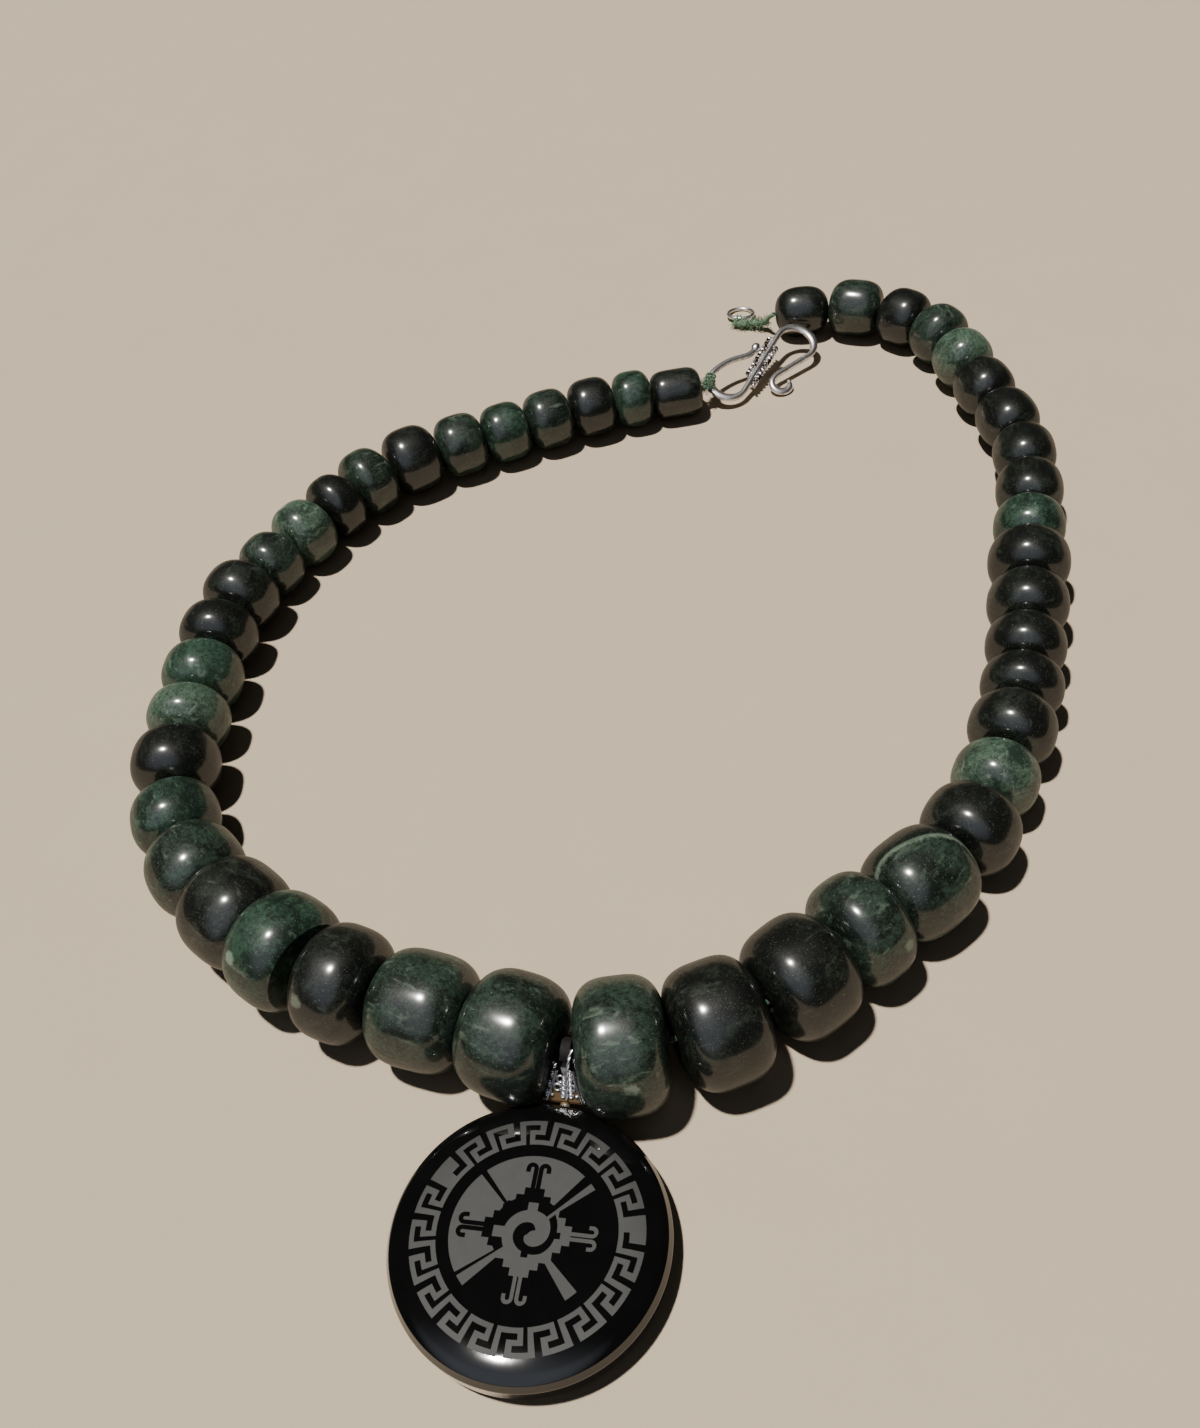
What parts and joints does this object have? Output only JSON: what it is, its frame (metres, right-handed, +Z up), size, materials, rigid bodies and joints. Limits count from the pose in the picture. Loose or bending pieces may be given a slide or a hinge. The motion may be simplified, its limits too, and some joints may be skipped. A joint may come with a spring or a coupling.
{
  "type": "obsidian pendant",
  "caption": "Engraved round obsidian pendant on a silver bail, strung on graded green stone beads with an S-hook and ring clasp, laid open on a surface.",
  "frame": {"origin": "on the table under the middle of the laid-out piece", "axes": "+Z up from the table, +Y from the pendant toward the clasp, +X to the right of somebody who looks along +Y"},
  "size_m": [0.1652, 0.2542, 0.0195],
  "materials": {
    "obsidian": "polished black, with the engraving frosted grey",
    "silver": "hand-worked, polished",
    "green_thread": "waxed twisted thread, frayed at the ties",
    "stone_black": "polished, almost black",
    "stone_dark_green": "polished, mottled",
    "stone_green": "polished, mottled",
    "stone_pale_green": "polished, streaked"
  },
  "bodies": {
    "root": {"pendant_disc": "obsidian", "bail": "silver", "thread": "green_thread", "clasp_hook": "silver", "end_ring": "silver", "hook_tie": "green_thread", "ring_tie": "green_thread", "bead_left_01": "stone_dark_green", "bead_left_02": "stone_dark_green", "bead_left_03": "stone_black", "bead_left_04": "stone_green", "bead_left_05": "stone_black", "bead_left_06": "stone_dark_green", "bead_left_07": "stone_green", "bead_left_08": "stone_black", "bead_left_09": "stone_pale_green", "bead_left_10": "stone_green", "bead_left_11": "stone_black", "bead_left_12": "stone_black", "bead_left_13": "stone_dark_green", "bead_left_14": "stone_pale_green", "bead_left_15": "stone_black", "bead_left_16": "stone_dark_green", "bead_left_17": "stone_black", "bead_left_18": "stone_dark_green", "bead_left_19": "stone_green", "bead_left_20": "stone_dark_green", "bead_left_21": "stone_black", "bead_left_22": "stone_green", "bead_left_23": "stone_black", "bead_right_01": "stone_dark_green", "bead_right_02": "stone_black", "bead_right_03": "stone_black", "bead_right_04": "stone_dark_green", "bead_right_05": "stone_dark_green", "bead_right_06": "stone_black", "bead_right_07": "stone_pale_green", "bead_right_08": "stone_black", "bead_right_09": "stone_black", "bead_right_10": "stone_black", "bead_right_11": "stone_black", "bead_right_12": "stone_black", "bead_right_13": "stone_green", "bead_right_14": "stone_black", "bead_right_15": "stone_black", "bead_right_16": "stone_black", "bead_right_17": "stone_black", "bead_right_18": "stone_pale_green", "bead_right_19": "stone_dark_green", "bead_right_20": "stone_black", "bead_right_21": "stone_dark_green", "bead_right_22": "stone_black"}
  },
  "joints": []
}
